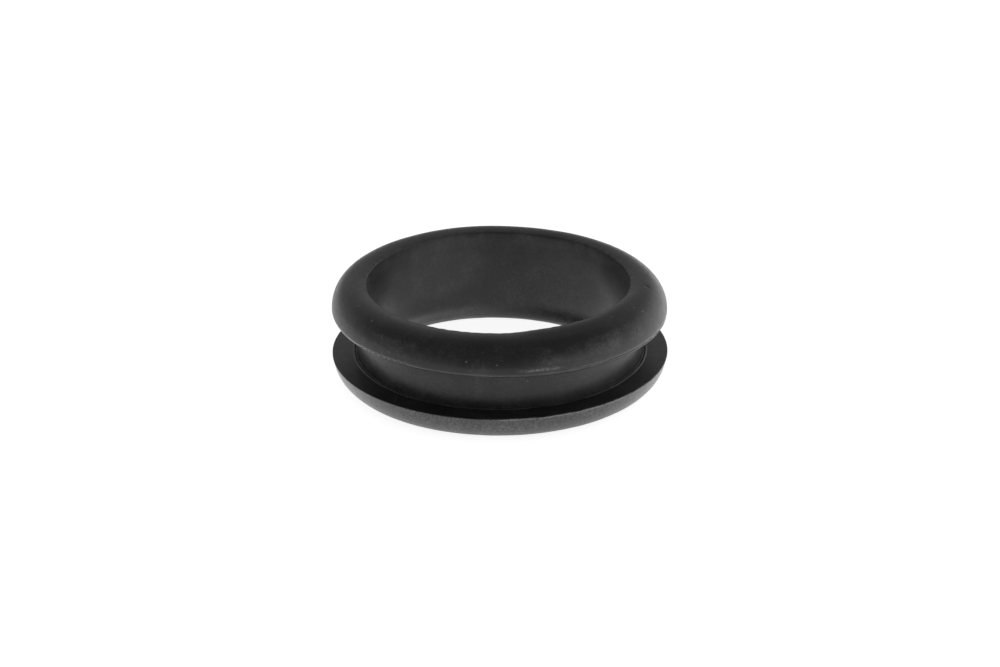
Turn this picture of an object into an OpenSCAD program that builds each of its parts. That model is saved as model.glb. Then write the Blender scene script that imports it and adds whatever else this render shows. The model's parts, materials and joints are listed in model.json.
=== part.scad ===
// Open rubber grommet: a round neck for a panel hole, with a flange on each side of the panel.
// Millimetres, +Z up along the bore, the foot on z = 0.

/* [Panel fit] */
// Diameter of the neck, which sits in the panel hole
neck_d = 42; // [30:0.5:60]
// Width of the groove, which takes the panel's thickness
groove_w = 6; // [3:0.1:12]
// Wall between the neck and the bore
neck_wall = 1.75; // [1:0.05:3]

/* [Lower flange] */
// How far the lower flange stands out past the neck
lower_reach = 4; // [2.5:0.1:6]
// Thickness of the lower flange, from the groove to the foot
lower_t = 4; // [2.5:0.1:6]
// Angle by which the lower rim leans inward, away from the groove
lower_draft = 14; // [0:1:25]
// Radius between the lower rim and the foot
lower_round = 3.7; // [1:0.1:6]
// Radius of the lower flange's edge at the groove, which is nearly sharp
lower_edge_round = 0.1; // [0.05:0.05:0.8]
// Least width that the flat foot keeps
foot_w = 0.5; // [0.2:0.1:1]

/* [Upper flange] */
// How far the upper flange stands out past the neck
upper_reach = 3.8; // [2.5:0.1:6]
// Thickness of the upper flange, from the groove to its crown
upper_t = 4.9; // [3:0.1:7]
// Angle by which the upper rim leans inward, away from the groove
upper_draft = 4; // [0:1:25]
// Radius of the upper flange's crown
upper_round = 4; // [1:0.1:6]
// Radius of the upper flange's edge at the groove
upper_edge_round = 0.8; // [0.05:0.05:1]

/* [Fine edges] */
// Radius of the bore's edge at the foot
bore_foot_round = 0.8; // [0.1:0.05:0.9]
// Radius of the bore's edge at the crown
bore_crown_round = 0.4; // [0.1:0.05:0.9]
// Fillet between the neck and each flange
root_round = 0.6; // [0.1:0.05:0.9]
// Radius of the fine moulding ridge around the lower flange's groove face
ridge_r = 0.12; // [0.05:0.01:0.2]

/* [Hidden] */
$fn = 180;
rubber_color = "#262626";
joint_lap = 0.1; // how far neighbouring areas of the section run into each other
rim_land = 0.2; // least height of a rim's straight part
tuck = 0.001; // how far a line or arc runs past the one that it should touch, so that they cross cleanly

// Radius of a flange's round, held back by the flange's thickness and by the width that it has to span
function round_fit(r, edge_round, t, draft, span) = min(
    r,
    (t - edge_round * (1 + sin(draft)) - rim_land) / (1 - sin(draft)),
    (span - t * tan(draft)) * cos(draft) / (1 - sin(draft))
);

// Radius at which a leaning rim would meet the groove face, if its edge wasn't rounded
function corner_r(flange_r, edge_round, draft) =
    flange_r + edge_round * ((1 + sin(draft)) / cos(draft) - 1);

// Where the centre of a flange's round lies, with the groove face on the line y = 0
function round_centre(rim_corner_r, r, t, draft) =
    [rim_corner_r - t * tan(draft) - r * (1 - sin(draft)) / cos(draft), t - r];

neck_r = neck_d / 2;
bore_r = neck_r - neck_wall;
groove_low_z = lower_t;
groove_high_z = lower_t + groove_w;
ridge_ring_r = neck_r + root_round + ridge_r;

lower_flange_r = neck_r + lower_reach;
lower_corner_r = corner_r(lower_flange_r, lower_edge_round, lower_draft);
lower_span = lower_corner_r - bore_r - bore_foot_round - foot_w;
lower_r = round_fit(lower_round, lower_edge_round, lower_t, lower_draft, lower_span);
lower_centre = round_centre(lower_corner_r, lower_r, lower_t, lower_draft);

upper_flange_r = neck_r + upper_reach;
upper_corner_r = corner_r(upper_flange_r, upper_edge_round, upper_draft);
upper_span = upper_corner_r - bore_r - bore_crown_round;
upper_r = round_fit(upper_round, upper_edge_round, upper_t, upper_draft, upper_span);
upper_centre = round_centre(upper_corner_r, upper_r, upper_t, upper_draft);

// A flange's section with its groove face on the line y = 0: a rounded edge, a leaning rim and a round
module flange_outline(flange_r, edge_round, centre, r, draft) {
    edge_centre = [flange_r - edge_round, edge_round];
    rim_dir = [cos(draft), sin(draft)];
    rim_start = edge_centre + (edge_round - tuck) * rim_dir;
    rim_end = centre + (r - tuck) * rim_dir;
    polygon([[bore_r, 0], [edge_centre[0], 0], rim_start, rim_end, [bore_r, rim_end[1]]]);
    translate(edge_centre) circle(edge_round);
    intersection() {
        translate(centre) circle(r);
        translate([bore_r, rim_end[1] - rim_land]) square([flange_r - bore_r, 2 * r]);
    }
}

// Takes the corner off at the mouth of the bore, as an arc of radius r about centre that ends in direction out
module mouth_cut(centre, r, out) {
    far = centre + 2 * r * out;
    difference() {
        polygon([centre, far, [bore_r - r, far[1]], [bore_r - r, centre[1]]]);
        translate(centre) circle(r + tuck);
    }
}

// Fills the corner between the neck and a flange face on the line y = 0
module root_fillet() {
    translate([neck_r - joint_lap, -joint_lap]) difference() {
        square(root_round + joint_lap);
        translate([root_round + joint_lap, root_round + joint_lap]) circle(root_round);
    }
}

module lower_flange() {
    mouth = [bore_r + bore_foot_round, lower_t - bore_foot_round];
    translate([0, groove_low_z]) mirror([0, 1]) difference() {
        union() {
            flange_outline(lower_flange_r, lower_edge_round, lower_centre, lower_r, lower_draft);
            translate([bore_r, 0]) square([lower_centre[0] - bore_r, lower_t]);
        }
        mouth_cut(mouth, bore_foot_round, [0, 1]);
    }
    translate([0, groove_low_z]) root_fillet();
    translate([ridge_ring_r, groove_low_z]) circle(ridge_r);
}

module upper_flange() {
    inner_r = upper_r - bore_crown_round;
    run = bore_r + bore_crown_round - upper_centre[0];
    rise = sqrt(inner_r * inner_r - run * run);
    mouth = upper_centre + [run, rise];
    translate([0, groove_high_z]) {
        difference() {
            flange_outline(upper_flange_r, upper_edge_round, upper_centre, upper_r, upper_draft);
            mouth_cut(mouth, bore_crown_round, [run, rise] / inner_r);
        }
        mirror([0, 1]) root_fillet();
    }
}

module neck() {
    translate([bore_r, groove_low_z - joint_lap]) square([neck_wall, groove_w + 2 * joint_lap]);
}

module grommet() {
    color(rubber_color) rotate_extrude() {
        lower_flange();
        neck();
        upper_flange();
    }
}

grommet();
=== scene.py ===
import json
import math

import bpy
import numpy as np
from mathutils import Matrix, Vector


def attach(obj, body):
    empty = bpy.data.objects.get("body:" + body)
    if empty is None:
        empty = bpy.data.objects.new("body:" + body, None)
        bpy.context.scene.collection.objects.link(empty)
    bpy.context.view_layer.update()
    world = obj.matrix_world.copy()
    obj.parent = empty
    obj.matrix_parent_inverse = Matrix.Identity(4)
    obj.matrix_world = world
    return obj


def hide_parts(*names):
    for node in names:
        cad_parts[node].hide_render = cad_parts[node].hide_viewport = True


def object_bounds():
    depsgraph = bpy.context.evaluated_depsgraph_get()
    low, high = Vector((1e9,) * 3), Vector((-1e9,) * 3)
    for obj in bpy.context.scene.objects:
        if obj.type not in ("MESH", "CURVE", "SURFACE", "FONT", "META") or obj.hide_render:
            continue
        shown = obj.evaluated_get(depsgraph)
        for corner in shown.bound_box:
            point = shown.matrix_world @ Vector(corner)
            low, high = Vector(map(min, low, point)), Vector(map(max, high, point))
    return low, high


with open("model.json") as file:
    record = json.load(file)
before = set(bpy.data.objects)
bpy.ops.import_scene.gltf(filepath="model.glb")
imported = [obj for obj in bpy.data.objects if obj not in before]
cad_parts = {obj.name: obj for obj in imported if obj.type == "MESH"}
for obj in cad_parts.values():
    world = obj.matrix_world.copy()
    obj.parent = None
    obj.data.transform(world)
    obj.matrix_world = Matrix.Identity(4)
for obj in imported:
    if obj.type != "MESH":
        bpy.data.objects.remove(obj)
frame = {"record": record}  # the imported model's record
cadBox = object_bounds()
mm = 0.001
mounts = {mount["name"]: mount for mount in frame["record"]["mounts"]}
boreRadius = mounts["bore"]["dims"]["r_mm"]
neckRadius = mounts["groove"]["dims"]["r_mm"]
grooveWidth = mounts["groove"]["dims"]["length_mm"]
print("frame loaded, bore radius", boreRadius, "mm, neck radius", neckRadius, "mm")


def addNode(tree, kind, **values):
    node = tree.nodes.new(kind)
    for key, value in values.items():
        setattr(node, key, value)
    return node


def feed(tree, socket, value):
    # links an output into a socket, or sets the socket to a plain value
    if isinstance(value, bpy.types.NodeSocket):
        tree.links.new(value, socket)
    else:
        socket.default_value = value


def calc(tree, operation, first, second=0.0, third=0.0):
    node = addNode(tree, "ShaderNodeMath", operation=operation)
    feed(tree, node.inputs[0], first)
    feed(tree, node.inputs[1], second)
    feed(tree, node.inputs[2], third)
    return node.outputs[0]


def product(tree, first, *others):
    for other in others:
        first = calc(tree, "MULTIPLY", first, other)
    return first


def total(tree, first, *others):
    for other in others:
        first = calc(tree, "ADD", first, other)
    return first


def remap(tree, value, fromLow, fromHigh, toLow, toHigh, style="LINEAR"):
    node = addNode(tree, "ShaderNodeMapRange", interpolation_type=style)
    for name, number in (("Value", value), ("From Min", fromLow), ("From Max", fromHigh),
                         ("To Min", toLow), ("To Max", toHigh)):
        feed(tree, node.inputs[name], number)
    return node.outputs["Result"]


def fade(tree, value, fromLow, fromHigh, toLow, toHigh):
    return remap(tree, value, fromLow, fromHigh, toLow, toHigh, "SMOOTHSTEP")


def band(tree, value, low, high, soft):
    # one from low to high, fading out over soft at each end
    return product(tree, fade(tree, value, low - soft, low, 0.0, 1.0),
                   fade(tree, value, high, high + soft, 1.0, 0.0))


def noise(tree, vector, scale, detail=2.0, rough=0.5, seed=0.0):
    node = addNode(tree, "ShaderNodeTexNoise", noise_dimensions="4D")
    feed(tree, node.inputs["Vector"], vector)
    feed(tree, node.inputs["Scale"], scale)
    feed(tree, node.inputs["Detail"], detail)
    feed(tree, node.inputs["Roughness"], rough)
    feed(tree, node.inputs["W"], seed)
    return node.outputs["Fac"]


# the ring's section, in mm unless it says otherwise
ringSize = {
    "lowerRim": 25.0,  # outermost radius of the lower flange
    "upperRim": 24.8,  # outermost radius of the upper flange
    "lowerThick": 4.0,  # from the groove to the foot
    "lowerLean": 14.0,  # degrees by which the lower rim leans in towards the foot
    "lowerRound": 3.7,  # from the lower rim to the foot
    "lowerEdge": 0.1,  # at the groove, nearly sharp
    "upperLean": 4.0,  # degrees by which the upper rim leans in towards the crown
    "upperRound": 4.0,  # over the crown
    "upperEdge": 0.8,  # at the groove
    "lowerRoot": 0.12,  # fillet at the neck's foot
    "upperRoot": 0.6,  # fillet under the upper flange
    "neckFlare": 0.35,  # by which the neck is wider at its foot than at its top
    "ridgeGap": 0.72,  # from the neck to the fine moulding line round its root
    "ridge": 0.12,  # radius of that line
    "boreFootRound": 0.8,
    "boreCrownRound": 0.2,
}
lowFace = ringSize["lowerThick"]  # height of the groove's lower face
highFace = lowFace + grooveWidth
ridgeRadius = neckRadius + ringSize["ridgeGap"]
samePoint = 1e-4  # mm, points closer than this are one


def arc(centre, radius, fromAngle, toAngle, steps):
    angles = np.radians(np.linspace(fromAngle, toAngle, steps + 1))
    return [(centre[0] + radius * math.cos(a), centre[1] + radius * math.sin(a)) for a in angles]


def line(start, end, steps):
    return [tuple(p) for p in np.linspace(start, end, steps + 1)]


def roundCentre(rim, edge, thick, lean, radius):
    # where a flange's big round sits, measured from the groove face
    slant = math.radians(lean)
    corner = rim + edge * ((1 + math.sin(slant)) / math.cos(slant) - 1)
    across = corner - thick * math.tan(slant) - radius * (1 - math.sin(slant)) / math.cos(slant)
    return across, thick - radius


def crownCentre():
    # radius and height of the middle of the crown's round
    across, rise = roundCentre(ringSize["upperRim"], ringSize["upperEdge"], cadBox[1].z / mm - highFace,
                               ringSize["upperLean"], ringSize["upperRound"])
    return across, highFace + rise


def crownHeight(radius):
    across, middle = crownCentre()
    return middle + math.sqrt(ringSize["upperRound"] ** 2 - (radius - across) ** 2)


def ringSection():
    # points as (radius, height), from the foot outward, up the outside and down the bore
    size = ringSize
    lowAcross, lowRise = roundCentre(size["lowerRim"], size["lowerEdge"], lowFace,
                                     size["lowerLean"], size["lowerRound"])
    lowCentre = (lowAcross, lowFace - lowRise)
    upCentre = crownCentre()
    mouthRun = boreRadius + size["boreCrownRound"] - upCentre[0]
    mouthReach = size["upperRound"] - size["boreCrownRound"]
    mouthRise = math.sqrt(mouthReach ** 2 - mouthRun ** 2)
    mouthAngle = math.degrees(math.atan2(mouthRise, mouthRun))
    mouthCentre = (upCentre[0] + mouthRun, upCentre[1] + mouthRise)
    footCentre = (boreRadius + size["boreFootRound"], size["boreFootRound"])
    lowEdge = (size["lowerRim"] - size["lowerEdge"], lowFace - size["lowerEdge"])
    upEdge = (size["upperRim"] - size["upperEdge"], highFace + size["upperEdge"])
    ridge = size["ridge"]
    root = size["lowerRoot"]
    topRoot = size["upperRoot"]
    neckFoot = neckRadius + size["neckFlare"]
    # the last number of each run is its count of steps
    runs = [
        line((footCentre[0], 0), (lowCentre[0], 0), 4),
        arc(lowCentre, size["lowerRound"], -90, -size["lowerLean"], 22),
        arc(lowEdge, size["lowerEdge"], -size["lowerLean"], 90, 5),
        line((lowEdge[0], lowFace), (ridgeRadius + ridge, lowFace), 14),
        arc((ridgeRadius, lowFace), ridge, 0, 180, 8),
        arc((neckFoot + root, lowFace + root), root, 270, 180, 5),
        line((neckFoot, lowFace + root), (neckRadius, highFace - topRoot), 18),
        arc((neckRadius + topRoot, highFace - topRoot), topRoot, 180, 90, 5),
        line((neckRadius + topRoot, highFace), (upEdge[0], highFace), 5),
        arc(upEdge, size["upperEdge"], -90, size["upperLean"], 18),
        arc(upCentre, size["upperRound"], size["upperLean"], mouthAngle, 34),
        arc(mouthCentre, size["boreCrownRound"], mouthAngle, 180, 7),
        line((boreRadius, mouthCentre[1]), (boreRadius, footCentre[1]), 22),
        arc(footCentre, size["boreFootRound"], 180, 270, 7),
    ]
    points = []
    for run in runs:
        for point in run:
            if not points or math.dist(point, points[-1]) > samePoint:
                points.append(point)
    if math.dist(points[0], points[-1]) < samePoint:
        points.pop()
    return points


# how the section is turned into the ring
ringLook = {
    "stepsAround": 560,
    "waviness": 0.018,  # mm, how far the moulded surface wanders from true
    "wavinessSize": 5.0,  # mm across one swell
    "seed": 3,
}


def revolveTree():
    tree = bpy.data.node_groups.new("ringRevolve", "GeometryNodeTree")
    face = tree.interface
    face.new_socket("Section", in_out="INPUT", socket_type="NodeSocketGeometry")
    sockets = {}
    for name, kind in (("Rail Radius", "NodeSocketFloat"), ("Steps Around", "NodeSocketInt"),
                       ("Waviness", "NodeSocketFloat"), ("Waviness Size", "NodeSocketFloat"),
                       ("Seed", "NodeSocketInt"), ("Rubber", "NodeSocketMaterial")):
        sockets[name] = face.new_socket(name, in_out="INPUT", socket_type=kind).identifier
    face.new_socket("Ring", in_out="OUTPUT", socket_type="NodeSocketGeometry")
    given = addNode(tree, "NodeGroupInput")
    made = addNode(tree, "NodeGroupOutput")

    # the section runs round a circular rail
    section = addNode(tree, "GeometryNodeMeshToCurve")
    rail = addNode(tree, "GeometryNodeCurvePrimitiveCircle")
    sweep = addNode(tree, "GeometryNodeCurveToMesh")
    feed(tree, section.inputs["Mesh"], given.outputs["Section"])
    feed(tree, rail.inputs["Radius"], given.outputs["Rail Radius"])
    feed(tree, rail.inputs["Resolution"], given.outputs["Steps Around"])
    feed(tree, sweep.inputs["Curve"], rail.outputs["Curve"])
    feed(tree, sweep.inputs["Profile Curve"], section.outputs["Curve"])

    # slow swells; noise strays about a quarter either way, so it is taken four times
    place = addNode(tree, "GeometryNodeInputPosition").outputs[0]
    outward = addNode(tree, "GeometryNodeInputNormal").outputs[0]
    swell = noise(tree, place, calc(tree, "DIVIDE", 1.0, given.outputs["Waviness Size"]),
                  1.5, 0.5, given.outputs["Seed"])
    height = product(tree, calc(tree, "SUBTRACT", swell, 0.5),
                     product(tree, given.outputs["Waviness"], 4.0))
    push = addNode(tree, "ShaderNodeVectorMath", operation="SCALE")
    wander = addNode(tree, "GeometryNodeSetPosition")
    feed(tree, push.inputs[0], outward)
    feed(tree, push.inputs["Scale"], height)
    feed(tree, wander.inputs["Geometry"], sweep.outputs["Mesh"])
    feed(tree, wander.inputs["Offset"], push.outputs[0])

    smooth = addNode(tree, "GeometryNodeSetShadeSmooth")
    real = addNode(tree, "GeometryNodeRealizeInstances")
    paint = addNode(tree, "GeometryNodeSetMaterial")
    feed(tree, smooth.inputs["Geometry"], wander.outputs[0])
    feed(tree, real.inputs["Geometry"], smooth.outputs[0])
    feed(tree, paint.inputs["Geometry"], real.outputs[0])
    feed(tree, paint.inputs["Material"], given.outputs["Rubber"])
    feed(tree, made.inputs["Ring"], paint.outputs[0])
    return tree, sockets


def makeRing(material):
    section = ringSection()
    mesh = bpy.data.meshes.new("ringSection")
    count = len(section)
    mesh.from_pydata([((r - boreRadius) * mm, -z * mm, 0) for r, z in section],
                     [(i, (i + 1) % count) for i in range(count)], [])
    blank = bpy.data.objects.new("ringSection", mesh)
    bpy.context.scene.collection.objects.link(blank)
    tree, sockets = revolveTree()
    modifier = blank.modifiers.new("revolve", "NODES")
    modifier.node_group = tree
    modifier[sockets["Rail Radius"]] = boreRadius * mm
    modifier[sockets["Steps Around"]] = ringLook["stepsAround"]
    modifier[sockets["Waviness"]] = ringLook["waviness"] * mm
    modifier[sockets["Waviness Size"]] = ringLook["wavinessSize"] * mm
    modifier[sockets["Seed"]] = ringLook["seed"]
    modifier[sockets["Rubber"]] = material
    graph = bpy.context.evaluated_depsgraph_get()
    ringMesh = bpy.data.meshes.new_from_object(blank.evaluated_get(graph))
    ringMesh.name = "grommetRing"
    ring = bpy.data.objects.new("grommetRing", ringMesh)
    bpy.context.scene.collection.objects.link(ring)
    bpy.data.objects.remove(blank)
    return ring


def faceOutward(obj):
    # a face of the outer rim says which way they all look now
    data = obj.data
    rim = max(data.polygons, key=lambda face: face.center.xy.length)
    if rim.normal.xy.dot(rim.center.xy) < 0:
        data.flip_normals()


# moulding marks and wear, moved into the mesh; angles in degrees from the front, plus to the right
markSize = {
    "tilt": -0.01256,  # mm of height per mm to the right, over the upper flange's rim
    "leftSpread": 0.04,  # mm, the upper flange isn't quite round
    "leftLip": 0.35,  # mm more at the mouth of the bore
    "backRise": 0.2,  # mm, of the upper flange at the back left
    "lipRise": 0.25,  # mm, of the mouth at the front right
    "footSlant": 0.065,  # mm outward per mm to the left, at the bore's far lower edge
    "footLift": 0.03,  # mm up per mm to the left, at the same edge
    "ridgeWander": 0.035,  # mm
    "ridgeUnevenness": 0.3,  # of the ridge's height
    "nibAngle": 46.2,  # where a nib stands on the moulding line
    "nibHeight": 0.14,  # mm
    "creaseDepth": 0.14,  # mm
    "creaseWidth": 0.12,  # mm
    "dashPitch": 2.4,  # degrees from one dash of the crease to the next
    "mouthRoughness": 0.025,  # mm
    "neckStep": 0.05,  # mm
    "seed": 11,
}

# small dents: angle, then radius, height, width and depth in mm
dents = [
    (82.5, 21.8, 14.77, 0.34, 0.12),
    (28.0, 19.5, 14.7, 0.3, 0.05),
    (-70.0, 19.6, 14.7, 0.35, 0.05),
    (61.0, 19.5, 14.7, 0.35, 0.06),
]


def wobble(angle, fromWave, toWave, seed):
    # smooth and closed round the ring, about plus or minus one
    draw = np.random.default_rng(seed)
    waves = np.zeros_like(angle)
    for wave in range(fromWave, toWave + 1):
        waves += draw.normal() * np.cos(wave * angle + draw.uniform(0, 2 * math.pi))
    return waves / math.sqrt(toWave - fromWave + 1)


def softStep(value, low, high):
    t = np.clip((value - low) / (high - low), 0, 1)
    return t * t * (3 - 2 * t)


def bell(distance, width):
    return np.exp(-(distance / width) ** 2)


def offTrue(x, angle, radius, height):
    # how far a point of the true ring has moved outward and upward, in mm
    size = markSize
    degrees = np.degrees(angle)
    upper = softStep(height, lowFace, highFace + 1)
    atBack = np.clip(-np.cos(angle), 0, 1)
    leftward = np.clip(-np.sin(angle), 0, 1) ** 2 * upper
    spread = leftward * (size["leftSpread"] + size["leftLip"] * (1 - softStep(radius, 19.5, 22)))
    rise = size["tilt"] * x * upper * softStep(radius, 20, 24)
    rise = rise + size["backRise"] * upper * atBack * (1 - softStep(x, -8, 8))
    nearRight = softStep(degrees, 2, 18) * (1 - softStep(degrees, 55, 85))
    rise = rise + size["lipRise"] * upper * nearRight * (1 - softStep(radius, 19.6, 22))
    # the bore's far lower edge: wider on the left, with a lip of flash on the right
    farFoot = atBack * (1 - softStep(height, 0.4, 3.0)) * (1 - softStep(radius, 19.8, 21.5))
    spread = spread - size["footSlant"] * x * farFoot
    rise = rise + size["footLift"] * np.clip(-x, 0, None) * farFoot * softStep(height, 0.0, 0.3)
    return spread, rise


def markRing(ring):
    size = markSize
    data = ring.data
    count = len(data.vertices)
    flat = np.empty(count * 3)
    data.vertices.foreach_get("co", flat)
    place = flat.reshape(-1, 3) / mm
    normals = np.array([tuple(v.vector) for v in data.vertex_normals])
    angle = np.arctan2(place[:, 0], -place[:, 1])
    degrees = np.degrees(angle)
    radius = np.hypot(place[:, 0], place[:, 1])
    height = place[:, 2]
    push = np.zeros(count)  # along the normal
    edge = ringSize["upperEdge"]
    ridge = ringSize["ridge"]

    # the moulding line wanders, thickens and thins, and has nicks and one nib
    onRidge = (abs(radius - ridgeRadius) < 1.4 * ridge) & (height > lowFace + 0.03)
    onRidge &= height < lowFace + 0.2
    uneven = wobble(angle, 20, 90, size["seed"]) * size["ridgeUnevenness"] * 0.6
    nick = np.clip(wobble(angle, 60, 140, size["seed"] + 1) - 1.0, 0, 1) * softStep(degrees, 5, 25)
    lift = np.clip(1 + uneven - 0.7 * nick, 0.25, 1.6)
    place[:, 2] = np.where(onRidge, lowFace + (height - lowFace) * lift, height)
    wander = wobble(angle, 6, 40, size["seed"] + 2) * size["ridgeWander"]
    shift = np.where(onRidge, wander, 0)
    millimetresPerDegree = 0.38  # along the moulding line
    nib = bell((degrees - size["nibAngle"]) * millimetresPerDegree, 0.16)
    nib = nib * bell(radius - ridgeRadius - 0.16, 0.2)
    nib = nib * (height < lowFace + 0.3) * (height > lowFace - 0.1)
    place[:, 2] += size["nibHeight"] * nib

    # the crease under the upper flange, dashed on the left and fading out at the front
    across = radius - (ringSize["upperRim"] - edge)
    up = height - (highFace + edge)
    slope = np.degrees(np.arctan2(up, across))
    onEdge = (abs(np.hypot(across, up) - edge) < 0.2) & (across > 0) & (up < 0.35)
    creaseSlope = np.interp(degrees, [-52, -32, 20, 70], [-14, -12, -9, -9])
    dash = softStep(np.sin((degrees + 50) * 2 * math.pi / size["dashPitch"]), -0.2, 0.3)
    onLeft = softStep(degrees, -54, -50) * (1 - softStep(degrees, -34, -29)) * dash
    strength = np.where(degrees < 0, onLeft, softStep(degrees, 18, 40))
    strength = strength * (0.85 + 0.3 * wobble(angle, 30, 80, size["seed"] + 3))
    crease = bell(np.radians(slope - creaseSlope) * edge, size["creaseWidth"]) * strength
    push -= np.where(onEdge, crease * size["creaseDepth"], 0)

    for turned, dentRadius, dentHeight, width, depth in dents:
        turn = math.radians(turned)
        spot = np.array([dentRadius * math.sin(turn), -dentRadius * math.cos(turn), dentHeight])
        push -= depth * bell(np.linalg.norm(place - spot, axis=1), width)

    # the bore's upper lip isn't quite even
    onMouth = (height > highFace + 4.0) & (radius < boreRadius + 0.45)
    uneven = wobble(angle, 25, 110, size["seed"] + 4) * size["mouthRoughness"] * 0.7
    push += np.where(onMouth, uneven, 0)

    # a small step on the neck at the right
    onNeck = (abs(radius - neckRadius) < 0.15) & (height > lowFace + 0.3) & (height < highFace - 0.3)
    step = softStep(degrees, 67.4, 68.2) * (1 - softStep(degrees, 72, 80))
    step = step * (1 - softStep(height, lowFace + 2.4, lowFace + 3.4))
    push -= np.where(onNeck, size["neckStep"] * step, 0)

    place += normals * push[:, None]
    outward = np.stack([np.sin(angle), -np.cos(angle)], 1)
    spread, rise = offTrue(place[:, 0], angle, radius, height)
    place[:, :2] += outward * (shift + spread)[:, None]
    place[:, 2] += rise
    data.vertices.foreach_set("co", (place * mm).ravel())
    data.update()


# matte black rubber with pale dust on it, and a painted sheen, a painted highlight and a painted
# reflection in the same pale tone; sizes in mm
rubberLook = {
    "colour": 0.011,
    "roughness": 0.32,
    "dustAndPaintedLightColour": 0.20,
    "dustAndPaintedLightRoughness": 0.3,  # more, where there is dust and painted light
    "fineGrain": 0.22,
    "coarseGrain": 0.6,
    "grainHeight": 0.013,
    "lineGap": 0.5,  # between the faint lines round the neck and the bore
    "blotch": 4.0,
    "bloom": 0.15,  # strength of the fine dust all over
    "gritGap": 0.8,  # between scattered specks
    "gritSize": (0.05, 0.13),  # of that gap, the speck's core and its outside
    "gritShare": 0.20,  # of the places that have a speck
    "grit": 0.35,  # strength of the specks
}

# single dust specks on the crown: angle, then radius and size in mm
crownSpecks = [
    (-90, 21.9, 0.08),
    (-86.5, 20.5, 0.08),
    (-65, 22.4, 0.10),
    (-63, 24.6, 0.10),
    (-52, 23.0, 0.11),
    (-11, 24.5, 0.09),
    (-1, 24.6, 0.07),
    (48, 19.9, 0.13),
    (48, 21.3, 0.10),
    (61.5, 21.9, 0.10),
    (63, 23.0, 0.12),
]

# the same on the neck and on the lower rim, with the height before the size
lowSpecks = [
    (10.5, neckRadius, 7.85, 0.12),
    (-29, ringSize["lowerRim"], 3.8, 0.10),
]

# rubbed and dusty places, and places of painted sheen, highlight and reflection: strength,
# then from and to in radius, height and angle, how soft the ends are in mm and in degrees, and the kind
# of grain
rubbedAndPaintedLightPlaces = {
    # painted sheen with some dust: a pale band that lightens the dark line under the upper flange's edge
    "painted sheen and dust under the upper flange's edge": (0.10, (23.4, 25.0), (9.7, 10.2), (-22, 10), (0.15, 12), "even"),
    # painted highlight with some wear: a pale line along the lower flange's sharp edge at the right
    "painted highlight and wear on the lower flange's right edge": (0.9, (24.85, 25.2), (3.8, 4.1), (4, 60), (0.05, 12), "streaks"),
    "smear at the front": (0.4, (23.9, 25.2), (11.1, 11.2), (9.5, 17), (0.3, 5), "streaks"),
    "haze on the right": (0.12, (22.0, 25.0), (11.9, 13.7), (18, 62), (0.4, 8), "blotch"),
    "haze on the left": (0.11, (22.0, 25.0), (11.6, 13.4), (-50, -28), (0.4, 7), "blotch"),
    "lower rim": (0.17, (21.0, 25.2), (0.8, 3.8), (-190, 190), (0.2, 5), "speckle"),
    "mouth of the bore": (0.06, (18.0, 20.0), (13.5, 15.0), (-190, 190), (1.5, 5), "even"),
    # painted reflection: a pale patch on the bore's wall at the back left
    "painted reflection left of the bore": (0.055, (18.0, 20.0), (6.0, 15.0), (-155, -130), (1.5, 20), "even"),
    "moulding line": (0.05, (21.5, 21.95), (4.03, 4.3), (-190, 190), (0.04, 5), "even"),
    "lower flange's face": (0.018, (21.9, 24.9), (3.9, 4.02), (-190, 190), (0.02, 5), "even"),
    "neck": (0.02, (20.8, 21.5), (6.0, 9.6), (-190, 190), (0.6, 5), "streaks"),
}

# one hairline scratch across the lower flange's face
scratch = {
    "radius": (22.4, 24.6),  # mm, from and to
    "height": (3.9, 4.1),  # mm
    "slope": 1.42,  # degrees per mm outward
    "start": -72.6,  # degrees, where it would start at the axis
    "width": (0.09, 0.26),  # degrees, of its core and its outside
    "strength": 0.34,
}


def addSpecks(tree, place, dustAndPaintedLight):
    # each speck moves with the surface it lies on
    specks = [(angle, radius, crownHeight(radius), width) for angle, radius, width in crownSpecks]
    for angle, radius, height, width in specks + lowSpecks:
        turn = math.radians(angle)
        spread, rise = offTrue(radius * math.sin(turn), turn, radius, height)
        radius += float(spread)
        away = addNode(tree, "ShaderNodeVectorMath", operation="DISTANCE")
        feed(tree, away.inputs[0], place)
        away.inputs[1].default_value = (radius * math.sin(turn) * mm, -radius * math.cos(turn) * mm,
                                        (height + float(rise)) * mm)
        speck = remap(tree, away.outputs["Value"], 1.5 * width * mm, 0.7 * width * mm, 0.0, 1.0)
        dustAndPaintedLight = calc(tree, "MAXIMUM", dustAndPaintedLight, speck)
    return dustAndPaintedLight


def addRubbedAndPaintedLightPlaces(tree, axial, up, degrees, fine, blotch, dustAndPaintedLight):
    streak = addNode(tree, "ShaderNodeCombineXYZ")
    feed(tree, streak.inputs["X"], product(tree, degrees, 0.12))
    feed(tree, streak.inputs["Y"], product(tree, axial, 0.7))
    feed(tree, streak.inputs["Z"], product(tree, up, 3.0))
    streaks = noise(tree, streak.outputs[0], 1.6, 3.0, 0.6, 9.0)
    speckled = remap(tree, fine, 0.35, 0.65, 0.3, 1.5)
    grains = {
        "even": [remap(tree, blotch, 0.3, 0.7, 0.7, 1.3)],
        "streaks": [remap(tree, streaks, 0.38, 0.62, 0.0, 1.6), speckled],
        "blotch": [remap(tree, blotch, 0.4, 0.65, 0.1, 1.2), speckled],
        "speckle": [remap(tree, fine, 0.43, 0.65, 0.3, 2.0)],
    }
    for strength, inRadius, inHeight, inTurn, soft, grain in rubbedAndPaintedLightPlaces.values():
        mask = product(tree, band(tree, axial, inRadius[0], inRadius[1], soft[0]),
                       band(tree, up, inHeight[0], inHeight[1], soft[0]),
                       band(tree, degrees, inTurn[0], inTurn[1], soft[1]), *grains[grain])
        dustAndPaintedLight = total(tree, dustAndPaintedLight, product(tree, mask, strength))
    return dustAndPaintedLight


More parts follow.
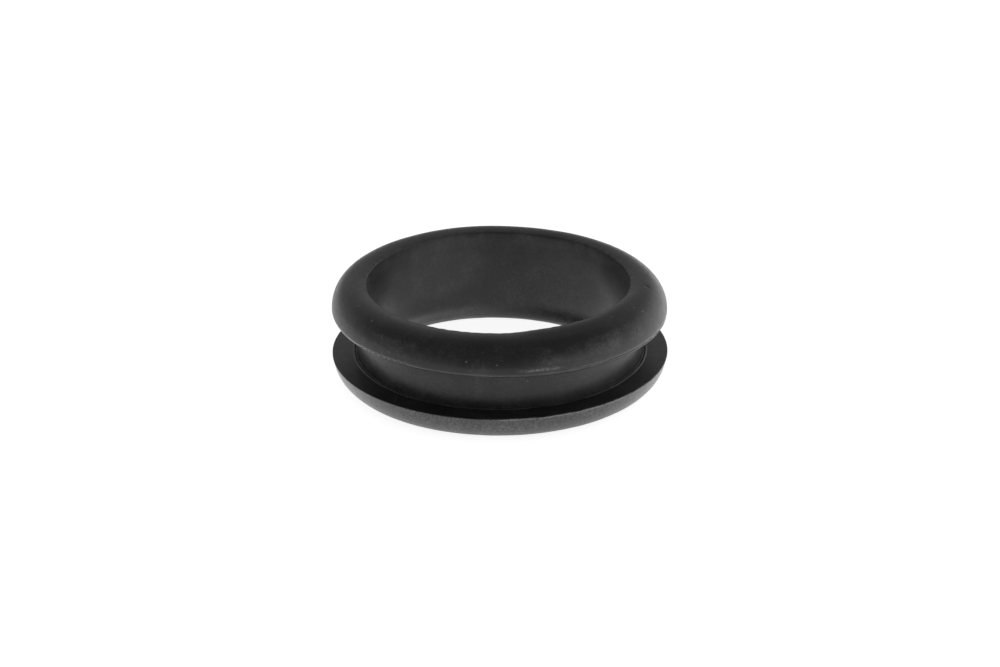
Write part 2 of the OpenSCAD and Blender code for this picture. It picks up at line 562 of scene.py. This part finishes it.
def addScratch(tree, axial, up, degrees, dustAndPaintedLight):
    course = calc(tree, "MULTIPLY_ADD", axial, scratch["slope"], scratch["start"])
    off = calc(tree, "ABSOLUTE", calc(tree, "SUBTRACT", degrees, course))
    core = remap(tree, off, scratch["width"][0], scratch["width"][1], scratch["strength"], 0.0)
    mark = product(tree, core, band(tree, axial, scratch["radius"][0], scratch["radius"][1], 0.1),
                   band(tree, up, scratch["height"][0], scratch["height"][1], 0.05))
    return calc(tree, "MAXIMUM", dustAndPaintedLight, mark)


def rubberMaterial():
    look = rubberLook
    material = bpy.data.materials.new("matteBlackRubber")
    material.use_nodes = True
    tree = material.node_tree
    tree.nodes.clear()
    out = addNode(tree, "ShaderNodeOutputMaterial")
    shader = addNode(tree, "ShaderNodeBsdfPrincipled")
    tree.links.new(shader.outputs[0], out.inputs["Surface"])
    place = addNode(tree, "ShaderNodeTexCoord").outputs["Object"]
    fine = noise(tree, place, 1 / (look["fineGrain"] * mm), 2.0, 0.6, 1.0)
    coarse = noise(tree, place, 1 / (look["coarseGrain"] * mm), 2.0, 0.5, 2.0)
    blotch = noise(tree, place, 1 / (look["blotch"] * mm), 3.0, 0.6, 7.0)

    # where the marks lie: distance from the axis, height, and angle from the front in degrees
    parts = addNode(tree, "ShaderNodeSeparateXYZ")
    across = addNode(tree, "ShaderNodeCombineXYZ")
    reach = addNode(tree, "ShaderNodeVectorMath", operation="LENGTH")
    feed(tree, parts.inputs[0], place)
    feed(tree, across.inputs["X"], parts.outputs["X"])
    feed(tree, across.inputs["Y"], parts.outputs["Y"])
    feed(tree, reach.inputs[0], across.outputs[0])
    axial = product(tree, reach.outputs["Value"], 1 / mm)
    up = product(tree, parts.outputs["Z"], 1 / mm)
    turned = calc(tree, "ARCTAN2", parts.outputs["X"], product(tree, parts.outputs["Y"], -1.0))
    degrees = product(tree, turned, math.degrees(1))

    # pale dust: a fine bloom, scattered specks, a few larger ones, and what has been rubbed on; the
    # rubbed places also hold a painted sheen, a painted highlight and a painted reflection in the same
    # pale tone
    bloom = remap(tree, product(tree, fine, blotch), 0.22, 0.42, 0.0, look["bloom"])
    grit = addNode(tree, "ShaderNodeTexVoronoi")
    chosen = addNode(tree, "ShaderNodeSeparateColor")
    feed(tree, grit.inputs["Vector"], place)
    feed(tree, grit.inputs["Scale"], 1 / (look["gritGap"] * mm))
    feed(tree, chosen.inputs[0], grit.outputs["Color"])
    dot = remap(tree, grit.outputs["Distance"], look["gritSize"][1], look["gritSize"][0], 0.0, 1.0)
    dot = product(tree, dot, calc(tree, "GREATER_THAN", chosen.outputs[0], 1 - look["gritShare"]))
    dustAndPaintedLight = calc(tree, "MAXIMUM", bloom, product(tree, dot, look["grit"]))
    dustAndPaintedLight = addSpecks(tree, place, dustAndPaintedLight)
    dustAndPaintedLight = addRubbedAndPaintedLightPlaces(tree, axial, up, degrees, fine, blotch, dustAndPaintedLight)
    dustAndPaintedLight = addScratch(tree, axial, up, degrees, dustAndPaintedLight)

    tone = remap(tree, dustAndPaintedLight, 0.0, 1.0, look["colour"], look["dustAndPaintedLightColour"])
    shade = addNode(tree, "ShaderNodeCombineColor")
    for socket in shade.inputs[:3]:
        feed(tree, socket, tone)
    feed(tree, shader.inputs["Base Color"], shade.outputs[0])
    rough = remap(tree, coarse, 0.3, 0.7, look["roughness"] - 0.04, look["roughness"] + 0.04)
    feed(tree, shader.inputs["Roughness"], total(tree, rough, product(tree, dustAndPaintedLight, look["dustAndPaintedLightRoughness"])))

    # bump: the grain and faint lines round the neck and the bore
    rings = addNode(tree, "ShaderNodeCombineXYZ")
    feed(tree, rings.inputs["X"], product(tree, parts.outputs["X"], 0.06))
    feed(tree, rings.inputs["Y"], product(tree, parts.outputs["Y"], 0.06))
    feed(tree, rings.inputs["Z"], parts.outputs["Z"])
    lines = noise(tree, rings.outputs[0], 1 / (look["lineGap"] * mm), 2.0, 0.5, 5.0)
    height = total(tree, product(tree, fine, 0.7), product(tree, coarse, 0.6), product(tree, lines, 0.5))
    bump = addNode(tree, "ShaderNodeBump")
    bump.inputs["Strength"].default_value = 1.0
    bump.inputs["Distance"].default_value = look["grainHeight"] * mm
    feed(tree, bump.inputs["Height"], height)
    feed(tree, shader.inputs["Normal"], bump.outputs[0])
    return material


# floor and light; places on the floor are in mm from the ring's middle
studio = {
    "floorSize": 6.0,  # m
    "floorDrop": 0.02,  # mm that the floor lies below the foot
    "floorTone": 0.85,
    "floorRoughness": 0.9,
    "seenGlow": 0.85,  # of the floor as the camera sees it
    "floorGlow": 0.62,  # of the floor at a distance, as the rubber sees it
    "frontGlow": 0.10,  # the same, at a distance in front
    "front": (-160, -70),  # mm, where the front glow ends and the floor's glow begins
    "rightGlow": 0.35,  # more to the right
    "right": (20, 55),
    "backGlow": 0.05,  # more at the back
    "back": (50, 120),
    "sideGlow": 0.36,  # more beside the lower flange, left and right
    "poolGlow": 0.62,  # more close to the ring
    "pool": (20, 47),
    "contactShade": 0.40,  # share of the glow that is lost under the ring
    "roofLight": 0.21,  # from all round and overhead
    "rightLight": 0.85,
    "leftLight": 0.22,
    "frontLight": 0.07,
    "backLight": 0.16,
}


def floorGlow(tree):
    # what the rubber mirrors: brighter close to the ring and beside it, dimmer far in front
    place = addNode(tree, "ShaderNodeTexCoord").outputs["Object"]
    parts = addNode(tree, "ShaderNodeSeparateXYZ")
    reach = addNode(tree, "ShaderNodeVectorMath", operation="LENGTH")
    feed(tree, parts.inputs[0], place)
    feed(tree, reach.inputs[0], place)
    away = reach.outputs["Value"]
    x = parts.outputs["X"]
    y = parts.outputs["Y"]
    pool = fade(tree, away, studio["pool"][0] * mm, studio["pool"][1] * mm, studio["poolGlow"], 0.0)
    # inside the bore the walls shade the floor, less so towards its left, its right and the back
    inside = fade(tree, away, 21 * mm, 17 * mm, 0.0, 1.0)
    middle = product(tree, fade(tree, x, 10 * mm, 1 * mm, 0.0, 1.0),
                     fade(tree, x, -15 * mm, -6 * mm, 0.0, 1.0),
                     fade(tree, y, 18 * mm, 14 * mm, 0.0, 1.0))
    openness = calc(tree, "SUBTRACT", 1.0, product(tree, inside, middle))
    far = fade(tree, y, studio["front"][0] * mm, studio["front"][1] * mm,
               studio["frontGlow"], studio["floorGlow"])
    glow = calc(tree, "MULTIPLY_ADD", pool, openness, far)
    right = fade(tree, x, studio["right"][0] * mm, studio["right"][1] * mm, 0.0, studio["rightGlow"])
    back = fade(tree, y, studio["back"][0] * mm, studio["back"][1] * mm, 0.0, studio["backGlow"])
    beside = product(tree, remap(tree, away, 40 * mm, 29 * mm, 0.0, studio["sideGlow"]),
                     fade(tree, calc(tree, "ABSOLUTE", x), 14 * mm, 26 * mm, 0.0, 1.0))
    glow = total(tree, glow, right, back, beside)
    under = product(tree, remap(tree, away, 19.5 * mm, 21 * mm, 0.0, 1.0),
                    remap(tree, away, 23 * mm, 25.5 * mm, studio["contactShade"], 0.0))
    return product(tree, glow, calc(tree, "SUBTRACT", 1.0, under))


def makeFloor():
    mesh = bpy.data.meshes.new("floor")
    half = studio["floorSize"] / 2
    drop = -studio["floorDrop"] * mm
    mesh.from_pydata([(-half, -half, drop), (half, -half, drop), (half, half, drop),
                      (-half, half, drop)], [], [(0, 1, 2, 3)])
    floor = bpy.data.objects.new("floor", mesh)
    bpy.context.scene.collection.objects.link(floor)
    material = bpy.data.materials.new("paleFloor")
    material.use_nodes = True
    tree = material.node_tree
    shader = tree.nodes["Principled BSDF"]
    tone = studio["floorTone"]
    shader.inputs["Base Color"].default_value = (tone, tone, tone, 1)
    shader.inputs["Roughness"].default_value = studio["floorRoughness"]
    shader.inputs["Emission Color"].default_value = (1, 1, 1, 1)
    # seen directly the floor is plain: the uneven glow is only the light that it throws on the rubber
    seen = addNode(tree, "ShaderNodeLightPath").outputs["Is Camera Ray"]
    strength = remap(tree, seen, 0.0, 1.0, floorGlow(tree), studio["seenGlow"])
    feed(tree, shader.inputs["Emission Strength"], strength)
    mesh.materials.append(material)


def makeWorld():
    # an even dim room, with soft low lights at the right, left and front, and one at the back
    world = bpy.data.worlds.new("studio")
    bpy.context.scene.world = world
    world.use_nodes = True
    tree = world.node_tree
    background = tree.nodes["Background"]
    parts = addNode(tree, "ShaderNodeSeparateXYZ")
    feed(tree, parts.inputs[0], addNode(tree, "ShaderNodeTexCoord").outputs["Generated"])
    x = parts.outputs["X"]
    y = parts.outputs["Y"]
    low = fade(tree, parts.outputs["Z"], 0.65, 0.2, 0.0, 1.0)
    right = fade(tree, x, 0.3, 0.8, 0.0, studio["rightLight"])
    left = fade(tree, x, -0.45, -0.8, 0.0, studio["leftLight"])
    front = fade(tree, y, -0.45, -0.8, 0.0, studio["frontLight"])
    back = fade(tree, y, 0.2, 0.7, 0.0, studio["backLight"])
    sides = product(tree, total(tree, right, left, front), low)
    background.inputs["Color"].default_value = (1, 1, 1, 1)
    feed(tree, background.inputs["Strength"], total(tree, sides, total(tree, back, studio["roofLight"])))


cameraPlace = {
    "aim": (0.0, 0.0, 4.0),  # mm, the middle of the lower groove face
    "distance": 328.3,  # mm
    "elevation": 24.13,  # degrees
    "roll": -0.38,  # degrees
    "lens": 79.03,  # mm
    "sensor": 36.0,  # mm
    "lift": 0.0126,  # of the picture's width
}


def makeCamera():
    size = cameraPlace
    data = bpy.data.cameras.new("camera")
    data.lens = size["lens"]
    data.sensor_width = size["sensor"]
    data.shift_y = size["lift"]
    data.clip_start = 0.01
    data.clip_end = 20.0
    camera = bpy.data.objects.new("camera", data)
    bpy.context.scene.collection.objects.link(camera)
    rise = math.radians(size["elevation"])
    back = Vector((0, -math.cos(rise), math.sin(rise)))
    level = Vector((1, 0, 0))
    upright = back.cross(level)
    roll = math.radians(size["roll"])
    right = level * math.cos(roll) + upright * math.sin(roll)
    up = upright * math.cos(roll) - level * math.sin(roll)
    turn = Matrix((right, up, back)).transposed().to_4x4()
    spot = (Vector(size["aim"]) + back * size["distance"]) * mm
    camera.matrix_world = Matrix.Translation(spot) @ turn
    bpy.context.scene.camera = camera


bpy.context.scene.view_settings.view_transform = "Standard"
rubber = rubberMaterial()
print("rubber material ready,", len(rubber.node_tree.nodes), "nodes")
ring = makeRing(rubber)
faceOutward(ring)
print("ring made,", len(ring.data.polygons), "faces")
markRing(ring)
print("moulding marks and wear added")
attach(ring, "root")
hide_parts("grommet")
makeFloor()
makeWorld()
makeCamera()
print("floor, light and camera ready")
